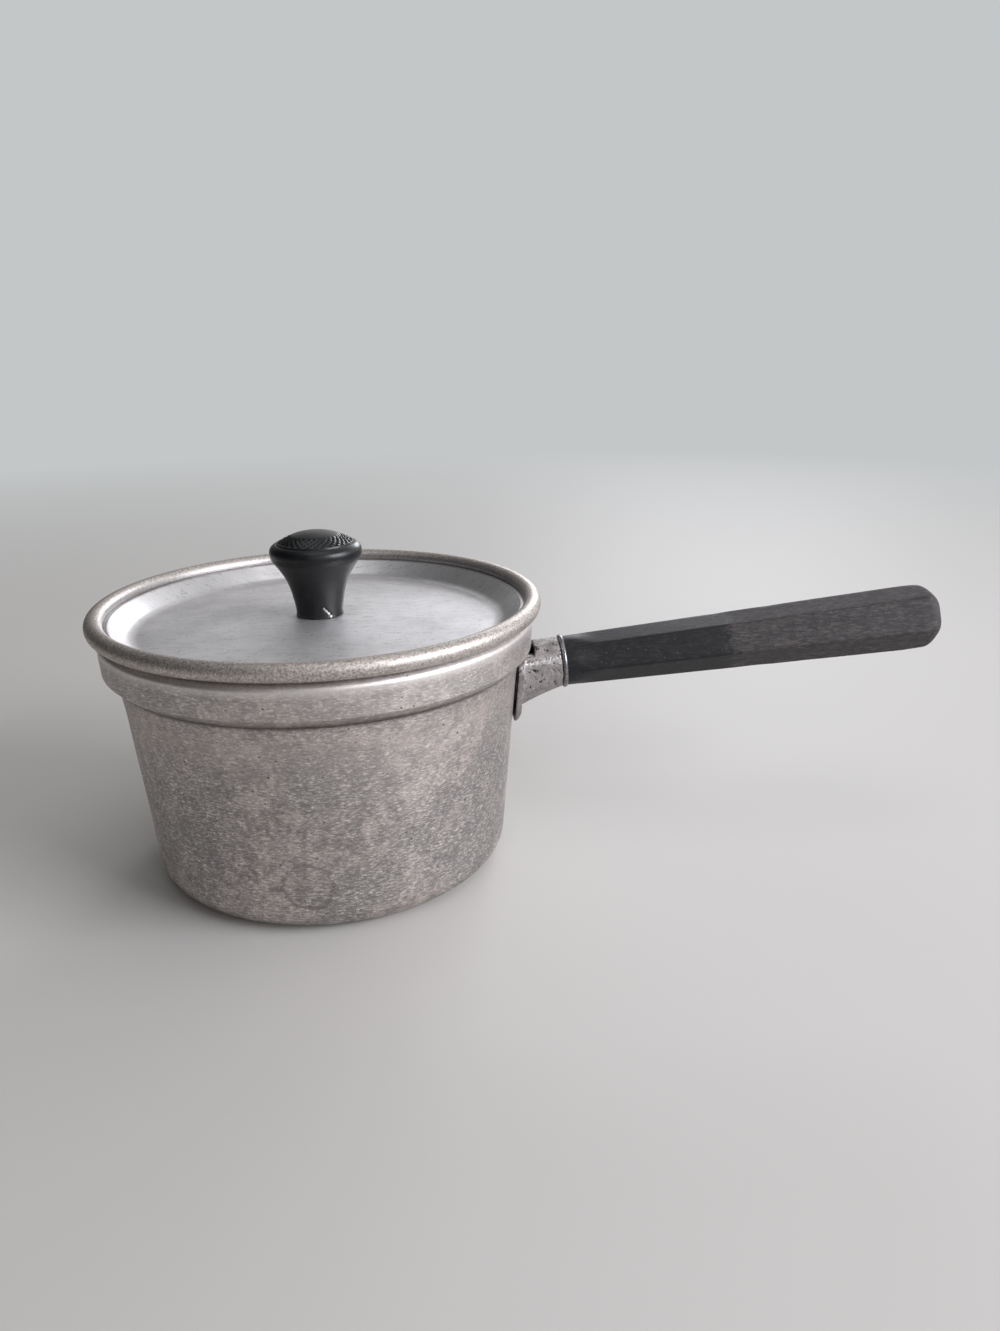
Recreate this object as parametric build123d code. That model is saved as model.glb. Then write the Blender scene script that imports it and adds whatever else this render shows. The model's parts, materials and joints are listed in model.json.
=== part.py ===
from build123d import *
import math
import os

# Small drawn aluminium saucepan with a stamped aluminium lid and a wooden handle.
# Millimetres. The origin is the centre of the base, +Z is up and the handle runs out along +X.

# Pan
pan_sheet = 1.4
base_thickness = 2.0
base_radius = 61.3          # where the wall would meet the table without its rounded corner
base_corner = 9.0
wall_top_radius = 67.8
wall_top_z = 72.6
belt_radius = 73.0
belt_lean = 0.5             # how much narrower the belt is at its lower edge
belt_low_z = 76.6
belt_high_z = 86.2
neck_radius = 70.6
neck_z = 88.4
rim_z = 89.7
rim_round = 0.65
bend_shift = 0.43           # how far a bend in the wall moves up or down per millimetre of inset

# Lid
lid_sheet = 1.0
lid_radius = 76.0
bead_radius = 2.9
bead_z = 91.6
bead_gap = 0.8              # between the curled edge and the ledge above it
bead_gap_angle = 242.0
ledge_z = 91.0              # upper face of the ledge between the dish and the bead
crease_radius = 68.9
dish_foot_radius = 62.0
dish_foot_bend = 13.0
floor_edge_z = 85.4
floor_z = 87.8              # upper face of the flat seat in the middle of the floor
seat_radius = 14.0

# Knob and what holds it
knob_foot_radius = 7.9
knob_height = 29.0
crown_radius = 12.7
end_play = 0.05
knob_screw_radius = 2.0
knob_screw_clearance = 0.08
insert_radius = 3.6
insert_length = 13.0
knob_screw_head_radius = 4.0
knob_screw_head = 2.4
screw_reach = 10.9          # how far the screw's shank stands above its head
washer_radius = 6.0
washer_thickness = 0.8
stem_points = [(8.5, 5.2), (9.6, 10.0), (12.3, 15.8)]      # radius, height over the foot
shoulder_points = [(15.2, 20.2), (15.5, 22.4), (13.4, 24.8)]
crown_foot = 25.3

# Handle
ring_x = 84.3               # centre of the bead ring between the socket and the wood
ring_z = 66.5
handle_rise = 4.6           # degrees above level
handle_length = 138.3
handle_roll = 11.0          # degrees that the six sides are turned about the handle's own axis
handle_corner_near = 9.0    # radius over the corners at the ring, and at the far end
handle_corner_far = 12.25
handle_neck = 8.8
spigot_radius = 7.2
spigot_length = 7.4
ring_wire = 0.85
ring_radius = 8.7
wood_end_round = 4.2
counterbore_depth = 4.6

# Bracket
socket_radius = 8.8
socket_wall = 1.3
web_back = 9.2              # distance from the ring to the pan side of the cross web
socket_waist = 11.8         # distance from the ring to the waist where the flare begins
waist_size = (9.3, 8.0, 11.3)       # half width, height over the axis, depth under it
foot_size = (10.6, 7.6, 14.0)
socket_chamfer = 4.6
flange_sheet = 2.1
flange_tip = 0.8            # thickness left at the flange's lower edge
flange_taper = 4.0          # height over which the lower edge thins
flange_width = 25.0
flange_low_z = 47.8
flange_high_z = 70.4
flange_corner = 4.5
flange_gap = 0.15
flange_bend_radius = 400.0
belt_relief_z = 71.0        # the bracket is cut back for the belt above this height

# Tie rod and rivets
rod_radius = 2.0
rod_bore = 2.3
rod_head_radius = 3.8
rod_head = 2.6
nut_flats = 7.0
nut_thickness = 3.2
rivet_radius = 1.6
inner_head_radius = 3.4
inner_head_height = 0.9
outer_head_radius = 2.8
outer_head_height = 1.3
rivet_clearance = 0.05
rivet_spots = [(-5.2, 66.2), (5.2, 66.2), (0.0, 60.2)]      # y, z
rod_seat = handle_length - counterbore_depth + 0.8          # under the rod's head

os.makedirs("parts", exist_ok=True)


wall_slope = math.atan((wall_top_radius - base_radius) / wall_top_z)


def wall_radius(z):
    """Outer radius of the tapered wall at a height."""
    return base_radius + math.tan(wall_slope) * z


def rounded_face(corners):
    """Closed outline from (x, y, corner radius) points."""
    face = make_face(Polyline(*[(x, y) for x, y, radius in corners], close=True))
    for x, y, radius in corners:
        if radius > 0:
            corner = face.vertices().sort_by_distance((x, y, 0))[0]
            face = fillet(corner, radius)
    return face


def turned(face):
    """Solid of revolution about Z from an outline drawn as (radius, height)."""
    return revolve(Plane.XZ * face, Axis.Z, 360)


def tube_between(radius, start, end, plane):
    """Round bar along the plane's own z, between two distances."""
    bar = Pos(0, 0, start) * Cylinder(radius, end - start, align=(Align.CENTER, Align.CENTER, Align.MIN))
    return plane * bar


rise = math.radians(handle_rise)
handle_plane = Plane(
    origin=(ring_x, 0, ring_z),
    x_dir=(0, 1, 0),
    z_dir=(math.cos(rise), 0, math.sin(rise)),
)


def rivet_plane(y, z):
    """Plane on the wall's outer face, square to the tapered wall and facing out."""
    angle = math.asin(y / wall_radius(z))
    level = math.cos(wall_slope)
    direction = (math.cos(angle) * level, math.sin(angle) * level, -math.sin(wall_slope))
    foot = (wall_radius(z) * math.cos(angle), y, z)
    return Plane(origin=foot, x_dir=(-math.sin(angle), math.cos(angle), 0), z_dir=direction)


def pan_outline(inset, floor, top):
    """Half section of the pan, moved in from its outer face."""
    return rounded_face([
        (0, floor, 0),
        (base_radius - inset, floor, base_corner - inset),
        (wall_top_radius - inset, wall_top_z + inset * bend_shift, 1.0),
        (belt_radius - belt_lean - inset, belt_low_z + inset * bend_shift, 1.8),
        (belt_radius - inset, belt_high_z - inset * bend_shift, 1.8),
        (neck_radius - inset, neck_z - inset * bend_shift, 0.8),
        (neck_radius - inset, top, 0),
        (0, top, 0),
    ])


def make_pan():
    body = turned(pan_outline(0, 0, rim_z)) - turned(pan_outline(pan_sheet, base_thickness, rim_z + 5))
    body = fillet(body.edges().group_by(Axis.Z)[-1], rim_round)
    for y, z in rivet_spots:
        body -= tube_between(rivet_radius + rivet_clearance, -5, 5, rivet_plane(y, z))
    return body.solid()


def section(size, inset, chamfer, corner):
    """Eight-sided section with rounded corners, across the socket."""
    half_width, top, bottom = [side - inset for side in size]
    return rounded_face([
        (half_width, top - chamfer, corner),
        (half_width - chamfer, top, corner),
        (chamfer - half_width, top, corner),
        (-half_width, top - chamfer, corner),
        (-half_width, chamfer - bottom, corner),
        (chamfer - half_width, -bottom, corner),
        (half_width - chamfer, -bottom, corner),
        (half_width, chamfer - bottom, corner),
    ])


def socket_shell(inset):
    """Loft from the round mouth back to the faceted foot of the socket."""
    mouth = socket_radius - inset
    foot = ring_x - wall_radius(60) + 2
    near = section([socket_radius] * 3, inset, mouth * 0.58, mouth * 0.9)
    waist = section(waist_size, inset, socket_chamfer, 1.8)
    far = section(foot_size, inset, socket_chamfer, 1.2)
    stations = ((ring_wire, near), (socket_waist, waist), (foot, far))
    return loft([handle_plane * Pos(0, 0, -back) * outline for back, outline in stations])


def make_flange():
    """Curved plate that lies down the wall under the belt."""
    high = flange_high_z + 2
    rows = [(flange_low_z, flange_tip), (flange_low_z + flange_taper, flange_sheet), (high, flange_sheet)]
    back = [(wall_radius(z) + flange_gap, z) for z in (high, flange_low_z)]
    front = [(wall_radius(z) + flange_gap + thickness, z) for z, thickness in rows]
    strip = make_face(Polyline(*back, *front, close=True))
    axis = Axis((wall_radius(60) - flange_bend_radius, 0, 0), (0, 0, 1))
    sheet = revolve(Plane.XZ * strip, axis, 360)
    middle = (flange_low_z + flange_high_z) / 2
    outline = RectangleRounded(flange_width, flange_high_z - flange_low_z, flange_corner)
    window = extrude(Plane(origin=(50, 0, middle), x_dir=(0, 1, 0), z_dir=(1, 0, 0)) * outline, 30)
    return sheet & window


def make_bracket():
    shell = socket_shell(0) - socket_shell(socket_wall)
    web = socket_shell(0.2) & tube_between(20, -web_back, -spigot_length - 0.2, handle_plane)
    socket = shell + web
    socket -= tube_between(spigot_radius + 0.05, -spigot_length - 0.2, 2, handle_plane)
    socket -= tube_between(rod_bore, -20, 0, handle_plane)
    keep_out = turned(pan_outline(-0.12, -1, rim_z + 5))
    belt_relief = Pos(0, 0, belt_relief_z) * Cylinder(
        belt_radius + 0.8, 30, align=(Align.CENTER, Align.CENTER, Align.MIN)
    )
    bracket = (socket - keep_out - belt_relief) + (make_flange() - keep_out)
    for y, z in rivet_spots:
        bracket -= tube_between(rivet_radius + rivet_clearance, -5, 3, rivet_plane(y, z))
    return bracket.solid()


def make_rivets():
    """Three rivets: flat head inside the pan, round head on the bracket's web."""
    rivets = []
    inner_seat = -pan_sheet - 0.15
    outer_seat = flange_sheet + 0.5
    for y, z in rivet_spots:
        plane = rivet_plane(y, z)
        shank = tube_between(rivet_radius, inner_seat - 0.1, outer_seat + 0.1, plane)
        inner_head = tube_between(inner_head_radius, inner_seat - inner_head_height, inner_seat, plane)
        inner_head = fillet(inner_head.edges().sort_by_distance((0, 0, z))[0], 0.5)
        outer_head = tube_between(outer_head_radius, outer_seat, outer_seat + outer_head_height, plane)
        outer_head = fillet(outer_head.edges().sort_by_distance((200, 0, z))[0], 0.9)
        rivets.append((shank + inner_head + outer_head).solid())
    return Compound(children=rivets)


def make_ring():
    return handle_plane * Torus(ring_radius, ring_wire)


def make_wood():
    """Turned round at the ring, planed to six sides further out, with worn far corners."""
    end = handle_length
    near = handle_plane * Pos(0, 0, -1) * Rot(0, 0, handle_roll) * RegularPolygon(handle_corner_near, 6)
    far = handle_plane * Pos(0, 0, end) * Rot(0, 0, handle_roll) * RegularPolygon(handle_corner_far, 6)
    planed = loft([near, far])
    planed = fillet(planed.edges().filter_by(lambda edge: edge.length > 100), 0.9)
    profile = rounded_face([
        (0, ring_wire, 0),
        (handle_neck, ring_wire, 0.6),
        (handle_neck + 0.9, 7.0, 6.0),
        (handle_corner_far + 1.2, 60, 0),
        (handle_corner_far + 0.4, end, wood_end_round),
        (0, end, 0),
    ])
    envelope = handle_plane * revolve(Plane.XZ * profile, Axis.Z, 360)
    wood = planed & envelope
    wood += tube_between(spigot_radius, -spigot_length, ring_wire + 0.1, handle_plane)
    wood -= tube_between(rod_bore, -20, end + 2, handle_plane)
    wood -= tube_between(rod_head_radius + 0.6, end - counterbore_depth, end + 2, handle_plane)
    return wood


def make_rod():
    """Tie rod with a slotted cheese head in the far end's counterbore."""
    rod = tube_between(rod_radius, -web_back - nut_thickness - 0.8, rod_seat + 0.1, handle_plane)
    head = tube_between(rod_head_radius, rod_seat, rod_seat + rod_head, handle_plane)
    head = chamfer(head.faces().sort_by(Axis.X)[-1].edges(), 0.4)
    slot = handle_plane * Pos(0, 0, rod_seat + rod_head) * Box(9, 1.1, 2.4)
    return rod + head - slot


def make_rod_washer():
    washer = tube_between(rod_head_radius + 0.4, handle_length - counterbore_depth, rod_seat, handle_plane)
    return washer - tube_between(rod_radius + 0.15, rod_seat - 2, rod_seat + 1, handle_plane)


def make_nut():
    block = handle_plane * Pos(0, 0, -web_back - nut_thickness) * extrude(
        RegularPolygon(nut_flats / 2, 6, major_radius=False), nut_thickness
    )
    return block - tube_between(rod_radius + 0.02, -30, 0, handle_plane)


def make_lid():
    """Dish, ledge and curled bead as one pressing, with a hole for the knob screw."""
    ledge_end = lid_radius - bead_radius * 2 + lid_sheet * 0.9
    dish = rounded_face([
        (0, floor_z, 0),
        (seat_radius, floor_z, 0),
        (dish_foot_radius, floor_edge_z, dish_foot_bend),
        (crease_radius, ledge_z, 0),
        (ledge_end, ledge_z, 0),
        (ledge_end, ledge_z - lid_sheet, 0),
        (crease_radius + lid_sheet * bend_shift, ledge_z - lid_sheet, 0.4),
        (dish_foot_radius + lid_sheet * bend_shift, floor_edge_z - lid_sheet, dish_foot_bend + lid_sheet),
        (seat_radius, floor_z - lid_sheet, 0),
        (0, floor_z - lid_sheet, 0),
    ])
    centre = Pos(lid_radius - bead_radius, bead_z)
    curl = centre * Circle(bead_radius) - centre * Circle(bead_radius - lid_sheet)
    gap = centre * Rot(0, 0, bead_gap_angle) * Pos(bead_radius - lid_sheet / 2, 0) * Rectangle(1.6, bead_gap)
    section_face = dish + curl - gap - centre * Circle(bead_radius - lid_sheet)
    lid = turned(section_face)
    hole = Cylinder(knob_screw_radius + knob_screw_clearance, 300)
    return lid - hole


def make_knob():
    """Mushroom knob: flared stem, rounded shoulder and a low crown inside a small step."""
    foot = floor_z + end_play
    stem_line = [(radius, foot + z) for radius, z in stem_points]
    shoulder_line = [(radius, foot + z) for radius, z in shoulder_points]
    stem = Spline(
        (knob_foot_radius, foot + 1.0), *stem_line, shoulder_line[0], tangents=[(0.02, 1), (0.45, 1)]
    )
    shoulder = ThreePointArc(*shoulder_line)
    shoulder_end = shoulder_line[-1]
    crown_z = foot + crown_foot
    step = Polyline(shoulder_end, (crown_radius + 0.2, shoulder_end[1]), (crown_radius, crown_z))
    crown_rise = foot + knob_height - crown_z
    sphere = (crown_radius**2 + crown_rise**2) / (2 * crown_rise)
    crown_angle = math.degrees(math.asin(crown_radius / sphere))
    crown = CenterArc((0, foot + knob_height - sphere), sphere, 90 - crown_angle, crown_angle)
    floor = Polyline(
        (0, foot + knob_height), (0, foot), (knob_foot_radius - 0.5, foot), (knob_foot_radius, foot + 1.0)
    )
    knob = turned(make_face([stem, shoulder, step, crown, floor]))
    pocket = Pos(0, 0, foot - 1) * Cylinder(
        insert_radius, insert_length + 1.5, align=(Align.CENTER, Align.CENTER, Align.MIN)
    )
    return knob - pocket


def make_insert():
    """Brass insert with two knurled bands, threaded for the screw."""
    foot = floor_z + end_play
    insert = Pos(0, 0, foot + 0.3) * Cylinder(
        insert_radius - 0.02, insert_length, align=(Align.CENTER, Align.CENTER, Align.MIN)
    )
    groove = Pos(0, 0, foot + 6.3) * (Cylinder(insert_radius + 1, 1.6) - Cylinder(insert_radius - 0.6, 1.6))
    bore = Pos(0, 0, foot) * Cylinder(
        knob_screw_radius + 0.02, 10.5, align=(Align.CENTER, Align.CENTER, Align.MIN)
    )
    return insert - groove - bore


def make_knob_screw():
    """Screw with a slotted round head under the lid."""
    under = floor_z - lid_sheet - end_play - washer_thickness
    shank = Pos(0, 0, under - 0.1) * Cylinder(
        knob_screw_radius, screw_reach + 0.1, align=(Align.CENTER, Align.CENTER, Align.MIN)
    )
    head = Pos(0, 0, under - knob_screw_head) * Cylinder(
        knob_screw_head_radius, knob_screw_head, align=(Align.CENTER, Align.CENTER, Align.MIN)
    )
    head = fillet(head.edges().group_by(Axis.Z)[0], 1.5)
    slot = Pos(0, 0, under - knob_screw_head) * Box(10, 1.0, 2.4)
    return shank + head - slot


def make_knob_washer():
    under = floor_z - lid_sheet - end_play
    disc = Pos(0, 0, under - washer_thickness) * Cylinder(
        washer_radius, washer_thickness, align=(Align.CENTER, Align.CENTER, Align.MIN)
    )
    return disc - Pos(0, 0, under) * Cylinder(knob_screw_radius + 0.1, 4)


nodes = {
    "pan_body": make_pan(),
    "handle_bracket": make_bracket(),
    "bracket_rivets": make_rivets(),
    "ferrule_ring": make_ring(),
    "wood_handle": make_wood(),
    "handle_rod": make_rod(),
    "rod_washer": make_rod_washer(),
    "rod_nut": make_nut(),
    "lid_pan": make_lid(),
    "lid_knob": make_knob(),
    "knob_insert": make_insert(),
    "knob_screw": make_knob_screw(),
    "knob_washer": make_knob_washer(),
}

for name, shape in nodes.items():
    export_step(shape, f"parts/{name}.step")
    print(f"{name}: {shape.volume / 1000:.2f} cm3")
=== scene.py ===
import json
import math

import bmesh
import bpy
from mathutils import Matrix, Vector, noise


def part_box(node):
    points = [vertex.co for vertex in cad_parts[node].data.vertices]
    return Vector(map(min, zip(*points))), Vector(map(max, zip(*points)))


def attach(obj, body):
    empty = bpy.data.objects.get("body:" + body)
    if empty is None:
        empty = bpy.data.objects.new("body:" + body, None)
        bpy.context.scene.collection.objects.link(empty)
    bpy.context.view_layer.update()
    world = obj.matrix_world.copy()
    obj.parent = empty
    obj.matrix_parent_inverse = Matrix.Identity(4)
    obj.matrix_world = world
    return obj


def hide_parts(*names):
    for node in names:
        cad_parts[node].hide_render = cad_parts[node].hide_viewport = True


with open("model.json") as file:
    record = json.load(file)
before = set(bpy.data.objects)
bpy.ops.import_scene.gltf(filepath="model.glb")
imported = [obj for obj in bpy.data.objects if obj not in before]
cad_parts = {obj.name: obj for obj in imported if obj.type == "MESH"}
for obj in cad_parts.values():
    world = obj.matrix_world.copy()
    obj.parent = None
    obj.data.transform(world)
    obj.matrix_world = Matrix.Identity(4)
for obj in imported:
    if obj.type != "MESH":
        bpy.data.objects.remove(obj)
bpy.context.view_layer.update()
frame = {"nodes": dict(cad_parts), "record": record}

mm = 0.001
roundSteps = 256  # steps of every full turn, fine enough for a smooth rim
sharpAngle = 0.6  # radians between faces, above which an edge stays crisp

print("frame loaded:", len(frame["nodes"]), "nodes")


# camera

camera = {
    "place": (26.6, -341.9, 182.8),  # mm, in the pan's own frame
    "turn": 5.9,  # degrees to the right of +Y
    "tilt": 18.8,  # degrees down
    "roll": -0.86,
    "lens": 36.57,
}


def makeCamera():
    data = bpy.data.cameras.new("camera")
    data.lens = camera["lens"]
    data.sensor_width = 36
    data.sensor_fit = "HORIZONTAL"
    data.clip_start = 0.01
    eye = bpy.data.objects.new("camera", data)
    bpy.context.collection.objects.link(eye)
    turned = Matrix.Rotation(math.radians(-camera["turn"]), 4, "Z")
    tilted = Matrix.Rotation(math.radians(90 - camera["tilt"]), 4, "X")
    rolled = Matrix.Rotation(math.radians(camera["roll"]), 4, "Z")
    eye.matrix_world = Matrix.Translation(Vector(camera["place"]) * mm) @ turned @ tilted @ rolled
    bpy.context.scene.camera = eye


makeCamera()


# material helpers

def hexLinear(code):
    channels = [int(code[i:i + 2], 16) / 255 for i in (1, 3, 5)]
    return [c / 12.92 if c <= 0.04045 else ((c + 0.055) / 1.055) ** 2.4 for c in channels] + [1]


def addNode(tree, kind, links=None, values=None, stops=None, out=0, **settings):
    # links and values go to input sockets, stops fill a colour ramp, and one output comes back
    node = tree.nodes.new("ShaderNode" + kind)
    for name, value in settings.items():
        setattr(node, name, value)
    for key, value in (values or {}).items():
        node.inputs[key].default_value = value
    for key, source in (links or {}).items():
        tree.links.new(source, node.inputs[key])
    if stops:
        band = node.color_ramp
        band.elements[0].position, band.elements[1].position = stops[0][0], stops[-1][0]
        for position, colour in stops[1:-1]:
            band.elements.new(position)
        for element, (position, colour) in zip(band.elements, stops):
            element.color = colour if isinstance(colour, list) else [colour] * 3 + [1]
    return node.outputs[out] if node.outputs else node


def newMaterial(name):
    material = bpy.data.materials.new(name)
    material.use_nodes = True
    tree = material.node_tree
    tree.nodes.clear()
    shader = tree.nodes.new("ShaderNodeBsdfPrincipled")
    addNode(tree, "OutputMaterial", {0: shader.outputs[0]})
    place = addNode(tree, "TexCoord", out=3)
    return material, tree, shader, place


def finishMaterial(tree, shader, colour, rough, height, depth):
    # depth is how far in mm the relief of the surface goes
    tree.links.new(colour, shader.inputs["Base Color"])
    tree.links.new(rough, shader.inputs["Roughness"])
    relief = addNode(tree, "Bump", {"Height": height}, {"Strength": 1.0, "Distance": depth * mm})
    tree.links.new(relief, shader.inputs["Normal"])


# materials

def panAluminium():
    # Drawn aluminium dulled by years of washing: a matt pinkish-grey skin of oxide, rubbed back
    # to bright metal in flecks that streak round the wall, with small dark pits, thin scratches and
    # a faint round stain low on the front; on top of that the wall is painted paler high up under the
    # belt, a painted shade line darkens the crease under the belt, and a painted highlight lies on the
    # belt's face and shoulder
    material, tree, shader, place = newMaterial("oxidisedDrawnAluminium")
    patches = addNode(
        tree, "TexNoise", {"Vector": place}, {"Scale": 1 / (34 * mm), "Detail": 9, "Roughness": 0.66},
    )
    mottle = addNode(
        tree, "TexNoise", {"Vector": place}, {"Scale": 1 / (5 * mm), "Detail": 8, "Roughness": 0.72},
    )
    flat = addNode(tree, "Mapping", {"Vector": place}, {"Scale": (1, 1, 3.4)})
    grain = addNode(
        tree, "TexNoise", {"Vector": flat}, {"Scale": 1 / (1.7 * mm), "Detail": 5, "Roughness": 0.85},
    )
    base = addNode(tree, "ValToRGB", {0: mottle}, stops=[
        (0.4, hexLinear("#968f8d")), (0.5, hexLinear("#aba3a1")), (0.58, hexLinear("#bfb5b2"))])
    grey = addNode(tree, "ValToRGB", {0: patches}, stops=[(0.46, 0.0), (0.58, 0.75)])
    base = addNode(tree, "Mix", {0: grey, 6: base}, {7: hexLinear("#8f8d8c")}, data_type="RGBA", out=2)
    bright = addNode(tree, "ValToRGB", {0: grain}, stops=[(0.53, 0.0), (0.57, 1.0)])
    gathered = addNode(tree, "ValToRGB", {0: mottle}, stops=[(0.4, 0.5), (0.56, 1.0)])
    bright = addNode(tree, "Math", {0: bright, 1: gathered}, operation="MULTIPLY")
    base = addNode(tree, "Mix", {0: bright, 6: base}, {7: hexLinear("#e9e2de")}, data_type="RGBA", out=2)
    dark = addNode(tree, "ValToRGB", {0: grain}, stops=[(0.36, 0.65), (0.43, 0.0)])
    base = addNode(tree, "Mix", {0: dark, 6: base}, {7: hexLinear("#6b6461")}, data_type="RGBA", out=2)
    skewed = addNode(tree, "Mapping", {"Vector": place}, {"Rotation": (0.35, 0.5, 0.1), "Scale": (1, 1, 11)})
    lines = addNode(tree, "TexNoise", {"Vector": skewed}, {"Scale": 1 / (16 * mm), "Detail": 2})
    scratch = addNode(tree, "ValToRGB", {0: lines}, stops=[(0.487, 0.0), (0.5, 1.0), (0.513, 0.0)])
    height = addNode(tree, "SeparateXYZ", {0: place}, out=2)
    level = addNode(tree, "Math", {0: height}, {1: 10}, operation="MULTIPLY")
    # painted light: the wall is painted paler high up, from about 45 mm to the belt, palest near 66 mm,
    # where it looks brighter
    upper = addNode(tree, "ValToRGB", {0: level}, stops=[(0.45, 0.0), (0.66, 0.35), (0.73, 0.1)])
    base = addNode(tree, "Mix", {0: upper, 6: base}, {7: hexLinear("#cdc3bf")}, data_type="RGBA", out=2)
    middle = (-5 * mm, -62 * mm, 18 * mm)
    spread = addNode(tree, "VectorMath", {0: place}, {1: middle}, out=1, operation="DISTANCE")
    spread = addNode(tree, "Math", {0: spread}, {1: 80}, operation="MULTIPLY")
    spread = addNode(tree, "Math", {0: mottle, 2: spread}, {1: 0.6}, operation="MULTIPLY_ADD")
    stain = addNode(tree, "ValToRGB", {0: spread}, stops=[(0.86, 0.1), (0.94, 0.8), (1.0, 0.0)])
    stain = addNode(tree, "Math", {0: stain, 1: mottle}, operation="MULTIPLY")
    base = addNode(tree, "Mix", {0: stain, 6: base}, {7: hexLinear("#4a4543")}, data_type="RGBA", out=2)
    broken = addNode(tree, "Mix", {0: grain, 7: scratch}, {6: [0, 0, 0, 1]}, data_type="RGBA", out=2)
    base = addNode(tree, "Mix", {0: broken, 6: base}, {7: hexLinear("#6a625f")}, data_type="RGBA", out=2)
    cells = addNode(tree, "TexVoronoi", {"Vector": place}, {"Scale": 1 / (2.6 * mm)})
    pits = addNode(tree, "ValToRGB", {0: cells}, stops=[(0.1, 1.0), (0.18, 0.0)])
    pocked = addNode(tree, "ValToRGB", {0: mottle}, stops=[(0.5, 0.0), (0.6, 1.0)])
    pits = addNode(tree, "Math", {0: pits, 1: pocked}, operation="MULTIPLY")
    base = addNode(tree, "Mix", {0: pits, 6: base}, {7: hexLinear("#3b3634")}, data_type="RGBA", out=2)
    # painted shade: a thin dark line in the crease under the belt, at about 73 mm up
    beltCreaseShade = addNode(tree, "ValToRGB", {0: level}, stops=[(0.715, 0.0), (0.73, 0.8), (0.75, 0.0)])
    base = addNode(tree, "Mix", {0: beltCreaseShade, 6: base}, {7: hexLinear("#4b4441")}, data_type="RGBA", out=2)
    # painted highlight: a faint brightening on the belt's face and a bright band on its rounded shoulder
    # near 85 mm up
    rubbedWearAndPaintedHighlight = addNode(
        tree, "ValToRGB", {0: level},
        stops=[(0.74, 0.0), (0.76, 0.12), (0.83, 0.15), (0.855, 0.7), (0.88, 0.3)],
    )
    base = addNode(tree, "Mix", {0: rubbedWearAndPaintedHighlight, 6: base}, {7: hexLinear("#ece6e3")}, data_type="RGBA", out=2)
    shader.inputs["Metallic"].default_value = 0.9
    rough = addNode(tree, "ValToRGB", {0: grain}, stops=[(0.35, 0.56), (0.65, 0.36)])
    relief = addNode(tree, "Mix", {6: mottle, 7: grain}, {0: 0.45}, data_type="RGBA", out=2)
    relief = addNode(tree, "Mix", {0: pits, 6: relief}, {7: [0, 0, 0, 1]}, data_type="RGBA", out=2)
    finishMaterial(tree, shader, base, rough, relief, 0.14)
    return material


def lidAluminium():
    # Stamped aluminium wiped smooth: a satin sheen with faint clouding and thin scratches,
    # painted shade lines in the crease and where the ledge meets the bead, and a warmer, speckled bead where
    # it is knocked
    material, tree, shader, place = newMaterial("satinStampedAluminium")
    cloud = addNode(
        tree, "TexNoise", {"Vector": place}, {"Scale": 1 / (16 * mm), "Detail": 6, "Roughness": 0.6},
    )
    grain = addNode(
        tree, "TexNoise", {"Vector": place}, {"Scale": 1 / (0.7 * mm), "Detail": 4, "Roughness": 0.75},
    )
    base = addNode(tree, "ValToRGB", {0: cloud}, stops=[
        (0.35, hexLinear("#d3d1d3")), (0.5, hexLinear("#dedcde")), (0.65, hexLinear("#e6e4e6"))])
    flat = addNode(tree, "Mapping", {"Vector": place}, {"Rotation": (0, 0, 0.4), "Scale": (1, 7, 1)})
    lines = addNode(tree, "TexNoise", {"Vector": flat}, {"Scale": 1 / (14 * mm), "Detail": 4})
    scratch = addNode(tree, "ValToRGB", {0: lines}, stops=[(0.493, 0.0), (0.5, 1.0), (0.507, 0.0)])
    base = addNode(tree, "Mix", {0: scratch, 6: base}, {7: hexLinear("#85817f")}, data_type="RGBA", out=2)
    level = addNode(tree, "Mapping", {"Vector": place}, {"Scale": (10, 10, 0)})
    radius = addNode(tree, "VectorMath", {0: level}, out=1, operation="LENGTH")
    bead = addNode(tree, "ValToRGB", {0: radius}, stops=[(0.695, 0.0), (0.712, 1.0)])
    specks = addNode(tree, "ValToRGB", {0: grain}, stops=[
        (0.38, hexLinear("#8f8782")), (0.47, hexLinear("#b5ada8")), (0.55, hexLinear("#c2bab5")),
        (0.64, hexLinear("#e2dcd7"))])
    base = addNode(tree, "Mix", {0: bead, 6: base, 7: specks}, data_type="RGBA", out=2)
    # painted shade: thin dark lines in the crease of the rim, near 69 mm out, and where the ledge meets the
    # bead, near 70 mm out
    rimCreaseShade = addNode(
        tree, "ValToRGB", {0: radius},
        stops=[(0.686, 0.0), (0.69, 0.75), (0.694, 0.1), (0.701, 0.6), (0.707, 0.0)],
    )
    base = addNode(tree, "Mix", {0: rimCreaseShade, 6: base}, {7: hexLinear("#4d4743")}, data_type="RGBA", out=2)
    shader.inputs["Metallic"].default_value = 0.88
    satin = addNode(tree, "ValToRGB", {0: cloud}, stops=[(0.35, 0.36), (0.65, 0.28)])
    dish = addNode(tree, "ValToRGB", {0: radius}, stops=[(0.555, 0.0), (0.6, 1.0)])
    wiped = addNode(tree, "Mix", {0: dish, 7: satin}, {6: [0.52, 0.52, 0.52, 1]}, data_type="RGBA", out=2)
    rough = addNode(tree, "Mix", {0: bead, 6: wiped}, {7: [0.46, 0.46, 0.46, 1]}, data_type="RGBA", out=2)
    faint = addNode(tree, "Mix", {7: grain}, {0: 0.12, 6: [0.5, 0.5, 0.5, 1]}, data_type="RGBA", out=2)
    strong = addNode(tree, "Mix", {7: grain}, {0: 0.7, 6: [0.5, 0.5, 0.5, 1]}, data_type="RGBA", out=2)
    relief = addNode(tree, "Mix", {0: bead, 6: faint, 7: strong}, data_type="RGBA", out=2)
    finishMaterial(tree, shader, base, rough, relief, 0.1)
    return material


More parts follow.
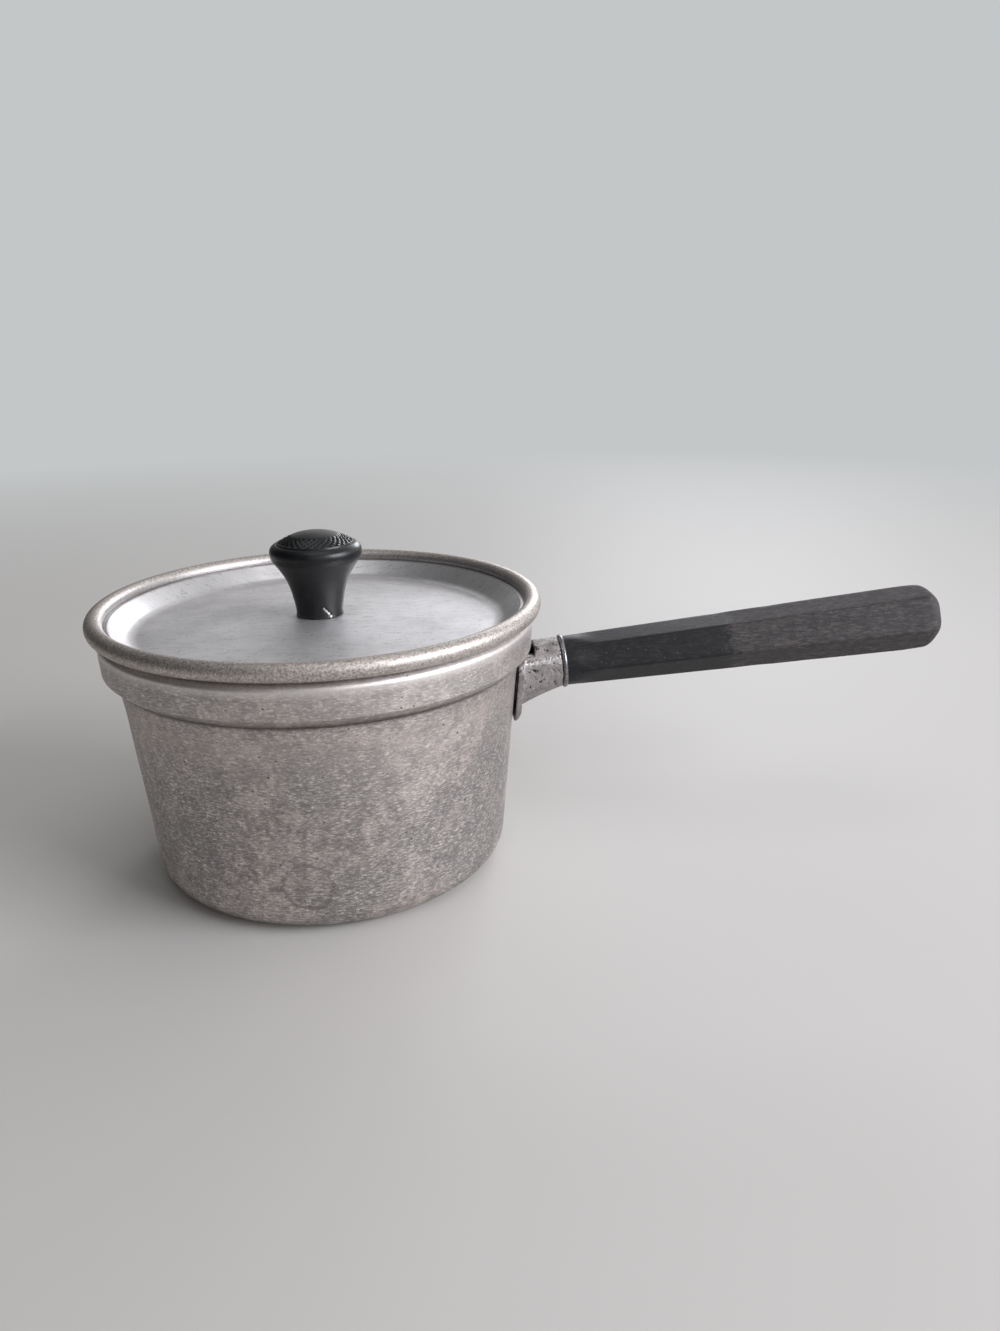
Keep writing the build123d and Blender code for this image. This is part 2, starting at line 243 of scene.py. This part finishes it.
def pittedMetal(name, code, gloss, size, depth):
    # Bare worn metal: the colour clouds from dull to rubbed bright, with dark pits of the given size in mm
    material, tree, shader, place = newMaterial(name)
    cloud = addNode(
        tree, "TexNoise", {"Vector": place},
        {"Scale": 1 / (3 * size * mm), "Detail": 6, "Roughness": 0.7},
    )
    colour = hexLinear(code)
    dull = [c * 0.62 for c in colour[:3]] + [1]
    light = [min(c * 1.3, 0.92) for c in colour[:3]] + [1]
    base = addNode(tree, "ValToRGB", {0: cloud}, stops=[(0.32, dull), (0.52, colour), (0.7, light)])
    warped = addNode(
        tree, "TexNoise", {"Vector": place}, {"Scale": 1 / (size * mm), "Detail": 4, "Roughness": 0.7},
    )
    pits = addNode(tree, "ValToRGB", {0: warped}, stops=[(0.38, 0.95), (0.43, 0.0)])
    base = addNode(tree, "Mix", {0: pits, 6: base}, {7: hexLinear("#2f2b2a")}, data_type="RGBA", out=2)
    shader.inputs["Metallic"].default_value = 0.95
    rough = addNode(tree, "ValToRGB", {0: cloud}, stops=[(0.3, gloss + 0.16), (0.7, gloss)])
    finishMaterial(tree, shader, base, rough, warped, depth)
    return material


def knobPhenolic():
    # Compression-moulded phenolic: near black with a cool cast and a soft gloss that dulls
    # in fine dust-like flecks, and a pale raw break where the foot is chipped
    material, tree, shader, place = newMaterial("mouldedBlackPhenolic")
    cloud = addNode(
        tree, "TexNoise", {"Vector": place}, {"Scale": 1 / (3.5 * mm), "Detail": 6, "Roughness": 0.65},
    )
    base = addNode(
        tree, "ValToRGB", {0: cloud},
        stops=[(0.35, hexLinear("#08090b")), (0.68, hexLinear("#101216"))],
    )
    dust = addNode(tree, "TexNoise", {"Vector": place}, {"Scale": 1 / (0.45 * mm), "Detail": 2})
    flecks = addNode(tree, "ValToRGB", {0: dust}, stops=[(0.68, 0.0), (0.76, 0.5)])
    base = addNode(tree, "Mix", {0: flecks, 6: base}, {7: hexLinear("#6d6f76")}, data_type="RGBA", out=2)
    chip = addNode(tree, "Attribute", attribute_name="wear", out=2)
    rim = addNode(tree, "ValToRGB", {0: chip}, stops=[(0.3, 0.0), (0.6, 1.0)])
    base = addNode(tree, "Mix", {0: rim, 6: base}, {7: hexLinear("#d9d8d6")}, data_type="RGBA", out=2)
    rough = addNode(tree, "ValToRGB", {0: cloud}, stops=[(0.35, 0.27), (0.65, 0.36)])
    shader.inputs["Specular IOR Level"].default_value = 0.45
    finishMaterial(tree, shader, base, rough, cloud, 0.05)
    return material


def paintedWood():
    # Black-lacquered hardwood: smooth and dark near the ring, and worn further out
    # to a drier grey-brown in which the lengthwise grain shows
    material, tree, shader, place = newMaterial("wornBlackLacqueredWood")
    along = addNode(tree, "Mapping", {"Vector": place}, {"Rotation": (0, 0.08, 0), "Scale": (0.24, 1, 1)})
    grain = addNode(
        tree, "TexNoise", {"Vector": along}, {"Scale": 1 / (0.7 * mm), "Detail": 4, "Roughness": 0.75},
    )
    fibre = addNode(tree, "TexNoise", {"Vector": along}, {"Scale": 1 / (3.5 * mm), "Detail": 3})
    edge = addNode(
        tree, "TexNoise", {"Vector": place}, {"Scale": 1 / (5 * mm), "Detail": 6, "Roughness": 0.72},
    )
    wear = addNode(tree, "Attribute", attribute_name="wear", out=2)
    ragged = addNode(tree, "Math", {0: edge, 1: wear}, operation="ADD")
    worn = addNode(tree, "ValToRGB", {0: ragged}, stops=[(0.84, 0.0), (1.1, 1.0)])
    lacquer = addNode(
        tree, "ValToRGB", {0: edge}, stops=[(0.35, hexLinear("#0f0e11")), (0.7, hexLinear("#1b1a1e"))],
    )
    bare = addNode(tree, "ValToRGB", {0: grain}, stops=[
        (0.36, hexLinear("#2f2b2d")), (0.5, hexLinear("#3d393a")), (0.64, hexLinear("#544f4f"))])
    deep = addNode(tree, "ValToRGB", {0: fibre}, stops=[(0.36, 0.35), (0.52, 0.0)])
    bare = addNode(tree, "Mix", {0: deep, 6: bare}, {7: hexLinear("#242124")}, data_type="RGBA", out=2)
    rubbedWearAndPaintedHighlight = addNode(tree, "ValToRGB", {0: grain}, stops=[(0.5, 0.0), (0.66, 0.35)])
    lacquer = addNode(
        tree, "Mix", {0: rubbedWearAndPaintedHighlight, 6: lacquer}, {7: hexLinear("#403d41")}, data_type="RGBA", out=2,
    )
    base = addNode(tree, "Mix", {0: worn, 6: lacquer, 7: bare}, data_type="RGBA", out=2)
    dust = addNode(tree, "TexNoise", {"Vector": place}, {"Scale": 1 / (0.7 * mm), "Detail": 2})
    flecks = addNode(tree, "ValToRGB", {0: dust}, stops=[(0.7, 0.0), (0.78, 0.5)])
    base = addNode(tree, "Mix", {0: flecks, 6: base}, {7: hexLinear("#9a979a")}, data_type="RGBA", out=2)
    rough = addNode(tree, "ValToRGB", {0: ragged}, stops=[(0.9, 0.42), (1.05, 0.62)])
    shader.inputs["Specular IOR Level"].default_value = 0.3
    finishMaterial(tree, shader, base, rough, grain, 0.07)
    return material


materials = {
    "pan_aluminium": panAluminium(),
    "lid_aluminium": lidAluminium(),
    # deep dark pits in a soft grey pressing that brightens on its folds
    "bracket_metal": pittedMetal("pittedPressedAluminium", "#a6a1a0", 0.26, 1.6, 0.4),
    # flat grey heads, duller than the wall around them
    "rivet_aluminium": pittedMetal("dullRivetAluminium", "#a9a6a4", 0.45, 1.0, 0.06),
    # a thin dark-and-bright line between the socket and the wood
    "ring_steel": pittedMetal("brightRingSteel", "#8c8c8f", 0.2, 0.5, 0.02),
    "black_wood": paintedWood(),
    # plain grey steel, slightly dulled, down in the end of the handle
    "rod_steel": pittedMetal("plainRodSteel", "#a5a5a6", 0.35, 0.8, 0.03),
    "knob_phenolic": knobPhenolic(),
    # a warm yellow glint inside the knob
    "insert_brass": pittedMetal("turnedBrass", "#c8a86a", 0.3, 0.8, 0.03),
    # clean bright plating under the lid
    "screw_steel": pittedMetal("platedScrewSteel", "#b5b5b8", 0.28, 0.8, 0.03),
}
print("materials made:", len(materials))

slotOf = {row["node"]: row["material_slot"] for row in frame["record"]["subparts"]}
bodyOf = {name: body for body, names in frame["record"]["behaviour"]["bodies"].items() for name in names}
for name, node in frame["nodes"].items():
    node.data.materials.clear()
    node.data.materials.append(materials[slotOf[name]])


# shape helpers, all in mm

def ease(value, start, end):
    part = min(max((value - start) / (end - start), 0), 1)
    return part * part * (3 - 2 * part)


def roundedLine(corners, steps=7, gap=2.0):
    # corners are (radius, height, rounding); long stretches are cut so that they can take dents
    line = []
    for i, (x, y, size) in enumerate(corners):
        here = Vector((x, y))
        if size == 0:
            line.append(here)
            continue
        back = (Vector(corners[i - 1][:2]) - here).normalized()
        ahead = (Vector(corners[i + 1][:2]) - here).normalized()
        half = back.angle(ahead) / 2
        centre = here + (back + ahead).normalized() * (size / math.sin(half))
        start = (here + back * (size / math.tan(half)) - centre).normalized()
        end = (here + ahead * (size / math.tan(half)) - centre).normalized()
        line += [centre + start.slerp(end, k / steps) * size for k in range(steps + 1)]
    dense = []
    for first, last in zip(line, line[1:]):
        parts = max(1, math.ceil((last - first).length / gap))
        dense += [first.lerp(last, k / parts) for k in range(parts)]
    return dense + line[-1:]


def smoothLine(points, parts=5):
    # a smooth curve through the points
    points = [Vector(point) for point in points]
    padded = [points[0] * 2 - points[1]] + points + [points[-1] * 2 - points[-2]]
    line = []
    for a, b, c, d in zip(padded, padded[1:], padded[2:], padded[3:]):
        for k in range(parts):
            t = k / parts
            line.append((b * 2 + (c - a) * t + (a * 2 - b * 5 + c * 4 - d) * t ** 2
                         + (b * 3 - a - c * 3 + d) * t ** 3) / 2)
    return line + points[-1:]


def arcLine(centre, radius, start, end, steps):
    # start and end in degrees
    turns = [math.radians(start + (end - start) * k / steps) for k in range(steps + 1)]
    return [Vector((centre[0] + radius * math.cos(a), centre[1] + radius * math.sin(a))) for a in turns]


def finishPiece(mesh, node, wear=None):
    # closes the mesh into an object that stands for the CAD node and rides with its body
    bmesh.ops.recalc_face_normals(mesh, faces=mesh.faces)
    if wear:
        layer = mesh.verts.layers.float.new("wear")
        for vert in mesh.verts:
            vert[layer] = wear(vert.co / mm)
    for face in mesh.faces:
        face.smooth = True
    for edge in mesh.edges:
        edge.smooth = edge.calc_face_angle(0) < sharpAngle
    name = node + "_piece"
    data = bpy.data.meshes.new(name)
    mesh.to_mesh(data)
    mesh.free()
    data.materials.append(materials[slotOf[node]])
    piece = bpy.data.objects.new(name, data)
    bpy.context.collection.objects.link(piece)
    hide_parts(node)
    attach(piece, bodyOf[node])
    print(name, len(data.vertices), "points")
    return piece


def spinLine(line, shape):
    # turns a line of (radius, height) round the z axis; one that starts away from the axis is a closed ring
    mesh = bmesh.new()
    verts = [mesh.verts.new((x * mm, 0, y * mm)) for x, y in line]
    pairs = list(zip(verts, verts[1:])) + ([(verts[-1], verts[0])] if line[0][0] > 0 else [])
    edges = [mesh.edges.new(pair) for pair in pairs]
    bmesh.ops.spin(
        mesh, geom=verts + edges, cent=(0, 0, 0), axis=(0, 0, 1),
        angle=math.tau, steps=roundSteps, use_merge=True,
    )
    bmesh.ops.remove_doubles(mesh, verts=mesh.verts, dist=1e-7)
    for vert in mesh.verts:
        vert.co = shape(vert.co / mm) * mm
    return mesh


# pan

pan = {
    "outer": [
        (0, 0, 0), (61.3, 0, 9.0), (67.8, 72.6, 0.5), (72.5, 76.6, 1.1), (73.0, 86.2, 1.8),
        (70.6, 88.4, 0.8), (70.6, 89.7, 0.65),
    ],
    "inner": [
        (69.2, 89.7, 0.65), (69.2, 87.8, 0.8), (71.6, 85.6, 1.8), (71.1, 77.2, 1.8),
        (66.4, 73.2, 1.0), (59.9, 2.0, 7.6), (0, 2.0, 0),
    ],
    "dent": 0.55,  # deepest hollow of the wall, and of the belt
    "beltDent": 0.12,
    "dentSize": 22,
}


def makePan():
    line = roundedLine(pan["outer"] + pan["inner"])

    def dented(co):
        wall = ease(co.z, 6, 16) * (1 - ease(co.z, 62, 72))
        away = 1 - ease(co.x, 52, 60)  # the wall stays true behind the bracket
        soft = 0.5 + 0.5 * noise.noise(co / pan["dentSize"])
        fine = 0.5 + 0.5 * noise.noise(co / 7)
        inward = pan["dent"] * wall * away * (soft * 0.8 + fine * 0.2)
        belt = pan["beltDent"] * ease(co.z, 74, 78) * (1 - ease(co.z, 86, 88)) * away * fine
        radius = math.hypot(co.x, co.y)
        scale = 1 - (inward + belt) / radius if radius > 50 else 1
        return Vector((co.x * scale, co.y * scale, co.z))

    finishPiece(spinLine(line, dented), "pan_body")


makePan()


# lid

lid = {
    "hole": 2.08,
    "sheet": 1.0,
    "seat": 14.0,
    "top": [(62.0, 85.4, 5.5), (68.9, 91.0, 0.35), (70.28, 91.0, 0)],
    "under": [(71.2, 90.0, 0), (69.33, 90.0, 0.4), (62.43, 84.4, 6.5)],
    "beadCentre": (73.07, 91.6),
    "bead": 2.9,
    "wave": 0.05,  # how far the floor of the dish is out of true
}


def makeLid():
    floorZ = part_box("lid_knob")[0].z / mm - 0.05
    start = [(lid["hole"], floorZ, 0), (lid["seat"], floorZ, 0)]
    under = [(lid["seat"], floorZ - lid["sheet"], 0), (lid["hole"], floorZ - lid["sheet"], 0)]
    line = roundedLine(start + lid["top"])
    line += arcLine(lid["beadCentre"], lid["bead"], 190, -108, 40)
    line += arcLine(lid["beadCentre"], lid["bead"] - lid["sheet"], -108, 205, 24)
    line += roundedLine(lid["under"] + under)

    def waved(co):
        radius = math.hypot(co.x, co.y)
        dish = ease(radius, 16, 26) * (1 - ease(radius, 54, 62))
        down = lid["wave"] * dish * (0.5 + 0.5 * noise.noise(Vector((co.x, co.y, 0)) / 17))
        knocked = 0.09 * ease(radius, 70.5, 72) * (0.5 + 0.5 * noise.noise(co / 4))
        scale = 1 - knocked / radius if radius > 50 else 1
        return Vector((co.x * scale, co.y * scale, co.z - down))

    finishPiece(spinLine(line, waved), "lid_pan")


makeLid()


# knob

knob = {
    # radius and height over the foot
    "stem": [
        (8.05, 0.3), (7.9, 1.3), (8.05, 3.0), (8.5, 5.5), (9.35, 9.2), (10.7, 13.0),
        (12.7, 16.5), (14.4, 18.9),
    ],
    "shoulder": [(14.75, 19.3), (15.3, 20.7), (15.45, 22.2), (15.1, 23.5), (14.3, 24.4), (13.5, 24.85)],
    "crown": 12.75,
    "crownFoot": 25.3,
    "ridges": 30,
    "ridgeDepth": 0.6,
    "slant": 1.7,  # radians that a ridge turns per millimetre outwards
    "footFlat": 7.5,
    "pocket": (3.6, 12.5),  # radius and depth of the hole that holds the insert
    "chip": ((4.3, -6.9, 0.9), (1.7, -7.95, 4.0)),
    "chipWidth": 0.75,
}


def makeKnob():
    low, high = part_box("lid_knob")
    foot, top = low.z / mm, high.z / mm - 0.02
    rise = top - foot - knob["crownFoot"]
    sphere = (knob["crown"] ** 2 + rise ** 2) / (2 * rise)
    edge = math.degrees(math.asin(knob["crown"] / sphere))
    line = arcLine((0, top - sphere), sphere, 90, 90 - edge, 40)
    line[0] = Vector((0, top))
    lift = Vector((0, foot))
    line += [Vector((knob["crown"] + 0.2, 24.85)) + lift]
    line += [point + lift for point in reversed(smoothLine(knob["shoulder"], 4))]
    line += [point + lift for point in reversed(smoothLine(knob["stem"]))]
    depth = foot + knob["pocket"][1]
    bore = knob["pocket"][0]
    line += [Vector(point) for point in ((knob["footFlat"], foot), (bore, foot), (bore, depth), (0, depth))]
    first, last = [Vector(point) + Vector((0, 0, foot)) for point in knob["chip"]]

    def chipAt(co):
        along = min(max((co - first).dot(last - first) / (last - first).length_squared, 0), 1)
        width = knob["chipWidth"] * (1.15 - 0.75 * along)
        away = (co - first.lerp(last, along)).length + 0.18 * noise.noise(co * 2.2)
        return 1 - ease(away, width * 0.45, width)

    def knurled(co):
        radius = math.hypot(co.x, co.y)
        turn = math.atan2(co.y, co.x) * knob["ridges"]
        band = ease(radius, 7.6, 9.0) * (1 - ease(radius, 12.1, 12.6))
        band *= ease(co.z, foot + 25, foot + 25.2)
        slant = knob["slant"] * radius
        ridge = abs(math.sin(turn / 2 + slant)) * (0.55 + 0.45 * abs(math.sin(turn / 2 - slant)))
        down = knob["ridgeDepth"] * band * (1 - ridge)
        scale = 1 - 0.35 * chipAt(co) / radius if radius > 5 else 1
        return Vector((co.x * scale, co.y * scale, co.z - down))

    finishPiece(spinLine(line, knurled), "lid_knob", chipAt)


makeKnob()


# wooden handle

wood = {
    "rise": 4.6,  # degrees above level
    "roll": 11.0,  # degrees that the six sides are turned
    "near": 9.0,  # radius over the corners at the ring, and at the far end
    "far": 12.25,
    "neck": 8.8,
    "length": 138.2,
    "start": 0.85,
    "endRound": 4.6,
    "spigot": (7.2, 7.4),
    "bore": 2.3,
    "counterbore": (4.4, 4.6),
    "crisp": 38,  # higher keeps the long corners sharper
    "crispEnd": 7,  # the same at the far end
    "wornFrom": 62,  # where the lacquer ends
    "wornSpread": 16,  # how gradually it ends, either way
    "wornDepth": 0.3,
    "softEnd": 14,  # over this last stretch the corners are worn rounder
    "steps": 216,
}


def makeWood():
    ringLow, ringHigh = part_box("ferrule_ring")
    centre = (ringLow + ringHigh) / 2 / mm
    rise = math.radians(wood["rise"])
    along = Vector((math.cos(rise), 0, math.sin(rise)))
    up = Vector((-math.sin(rise), 0, math.cos(rise)))
    side = Vector((0, 1, 0))
    length = wood["length"]

    def sixSided(s, turn):
        corner = wood["near"] + (wood["far"] - wood["near"]) * (s + 1) / (length + 1)
        flat = corner * math.cos(math.radians(30))
        soft = ease(s, length - wood["softEnd"], length - 1)
        crisp = wood["crisp"] - (wood["crisp"] - wood["crispEnd"]) * soft
        total = 0
        for k in range(6):
            facing = math.cos(turn - math.radians(wood["roll"] + 30 + 60 * k))
            total += max(facing, 0) ** crisp
        planed = flat * total ** (-1 / crisp)
        ripple = noise.noise(Vector((s / 9, math.cos(turn) * 2, math.sin(turn) * 2)))
        worn = wood["wornDepth"] * ease(s, 40, 90) * max(0, ripple)
        start = wood["neck"] + 0.02 * s
        radius = start + (planed - start) * ease(s, 1, 13) - worn * ease(planed / flat, 1.08, 1.13)
        tail = max(0, s - (length - wood["endRound"]))
        return radius - (wood["endRound"] - math.sqrt(wood["endRound"] ** 2 - tail ** 2))

    places = [wood["start"] + k * 1.1 for k in range(int((length - 6) / 1.1))]
    places += [length - wood["endRound"] * (1 - math.sin(math.radians(a))) for a in range(0, 91, 9)]
    turns = [math.tau * k / wood["steps"] for k in range(wood["steps"])]
    rings = [(s, [sixSided(s, turn) for turn in turns]) for s in places]
    hole, depth = wood["counterbore"]
    endRing = rings[-1][1]
    for part in (0.35, 0.7, 0.93):
        rings.append((length - 0.05 * part, [r + (hole - r) * part for r in endRing]))
    for s, r in (
        (length - 0.4, hole), (length - depth, hole), (length - depth, wood["bore"]),
        (-wood["spigot"][1], wood["bore"]), (-wood["spigot"][1], wood["spigot"][0]),
        (wood["start"] - 0.2, wood["spigot"][0]), (wood["start"], wood["neck"] - 0.4),
    ):
        rings.append((s, [r] * wood["steps"]))
    mesh = bmesh.new()
    grid = []
    for s, radii in rings:
        grid.append([
            mesh.verts.new((centre + along * s + (side * math.cos(turn) + up * math.sin(turn)) * r) * mm)
            for turn, r in zip(turns, radii)
        ])
    for near, far in zip(grid, grid[1:] + grid[:1]):
        for k in range(wood["steps"]):
            following = (k + 1) % wood["steps"]
            mesh.faces.new((near[k], near[following], far[following], far[k]))

    def wornAt(co):
        s = (co - centre).dot(along)
        return ease(s, wood["wornFrom"] - wood["wornSpread"], wood["wornFrom"] + wood["wornSpread"])

    finishPiece(mesh, "wood_handle", wornAt)


makeWood()


# bracket: the pressing's own shape with its edges worn round

bracket = {"cell": 0.32, "rounds": 5}


def makeBracket():
    mesh = bmesh.new()
    mesh.from_mesh(frame["nodes"]["handle_bracket"].data)
    bmesh.ops.remove_doubles(mesh, verts=mesh.verts, dist=1e-6)
    piece = finishPiece(mesh, "handle_bracket")
    remesh = piece.modifiers.new("evenCells", "REMESH")
    remesh.mode = "VOXEL"
    remesh.voxel_size = bracket["cell"] * mm
    remesh.use_smooth_shade = True
    worn = piece.modifiers.new("wornEdges", "SMOOTH")
    worn.factor = 0.5
    worn.iterations = bracket["rounds"]


makeBracket()


# floor and light

studio = {
    "floorSize": 30.0,
    "floorHeight": -0.0002,
    "floor": "#c6c3c0",
    "backdrop": "#c4c7c8",
    "fadeFrom": 0.4,  # metres from the pan at which the floor starts to melt into the backdrop
    "fadeTo": 1.2,
}


def makeFloor():
    mesh = bmesh.new()
    bmesh.ops.create_grid(mesh, x_segments=2, y_segments=2, size=studio["floorSize"])
    bmesh.ops.translate(mesh, verts=mesh.verts, vec=(0, 0, studio["floorHeight"]))
    data = bpy.data.meshes.new("floor")
    mesh.to_mesh(data)
    mesh.free()
    ground = bpy.data.objects.new("floor", data)
    bpy.context.collection.objects.link(ground)
    material, tree, shader, place = newMaterial("palePaintedTable")
    shader.inputs["Base Color"].default_value = hexLinear(studio["floor"])
    shader.inputs["Roughness"].default_value = 0.6
    distance = addNode(tree, "VectorMath", {0: place}, out=1, operation="LENGTH")
    fade = addNode(tree, "MapRange", {0: distance}, {1: studio["fadeFrom"], 2: studio["fadeTo"]})
    seen = addNode(tree, "LightPath")
    strength = addNode(tree, "MapRange", {0: seen}, {3: 0.3, 4: 1.0})
    glow = addNode(tree, "Emission", {1: strength}, {0: hexLinear(studio["backdrop"])})
    both = addNode(tree, "MixShader", {0: fade, 1: shader.outputs[0], 2: glow})
    addNode(tree, "OutputMaterial", {0: both}).is_active_output = True
    data.materials.append(material)


makeFloor()

lights = [
    # name, place in metres, width and height, watts, colour
    ("windowRight", (1.1, -0.6, 0.6), (0.9, 0.7), 18.0, "#f6f8ff"),
    ("windowBack", (0.75, 1.8, 0.7), (0.7, 0.45), 9.0, "#f6f8ff"),
    ("skyTop", (0.1, -0.2, 1.4), (1.0, 1.0), 2.5, "#ffffff"),
]


def makeLights():
    for name, place, (width, height), power, colour in lights:
        data = bpy.data.lights.new(name, "AREA")
        data.shape = "RECTANGLE"
        data.size, data.size_y = width, height
        data.energy = power
        data.color = hexLinear(colour)[:3]
        lamp = bpy.data.objects.new(name, data)
        aim = (Vector((0.03, 0, 0.06)) - Vector(place)).to_track_quat("-Z", "Y").to_matrix().to_4x4()
        lamp.visible_camera = False
        lamp.matrix_world = Matrix.Translation(place) @ aim
        bpy.context.collection.objects.link(lamp)


def makeWorld():
    # dark to the left and bright to the right, and a plain pale backdrop where the camera sees it
    world = bpy.data.worlds.new("studio")
    bpy.context.scene.world = world
    world.use_nodes = True
    tree = world.node_tree
    tree.nodes.clear()
    direction = addNode(tree, "TexCoord")
    across = addNode(tree, "SeparateXYZ", {0: direction})
    grade = addNode(tree, "MapRange", {0: across}, {1: -1.0, 2: 1.0})
    sky = addNode(tree, "ValToRGB", {0: grade}, stops=[(0.12, 0.05), (0.36, 0.22), (0.5, 0.75), (0.75, 1.0)])
    upward = addNode(tree, "SeparateXYZ", {0: direction}, out=2)
    overhead = addNode(tree, "ValToRGB", {0: upward}, stops=[(0.45, 1.0), (0.9, 0.5)])
    sky = addNode(
        tree, "Mix", {6: sky, 7: overhead}, {0: 1.0}, data_type="RGBA", blend_type="MULTIPLY", out=2,
    )
    seen = addNode(tree, "LightPath")
    colour = addNode(
        tree, "Mix", {0: seen, 6: sky}, {7: hexLinear(studio["backdrop"])}, data_type="RGBA", out=2,
    )
    light = addNode(tree, "Background", {0: colour}, {1: 1.0})
    addNode(tree, "OutputWorld", {0: light})


makeLights()
makeWorld()
bpy.context.scene.view_settings.view_transform = "Standard"
print("floor and lights made")
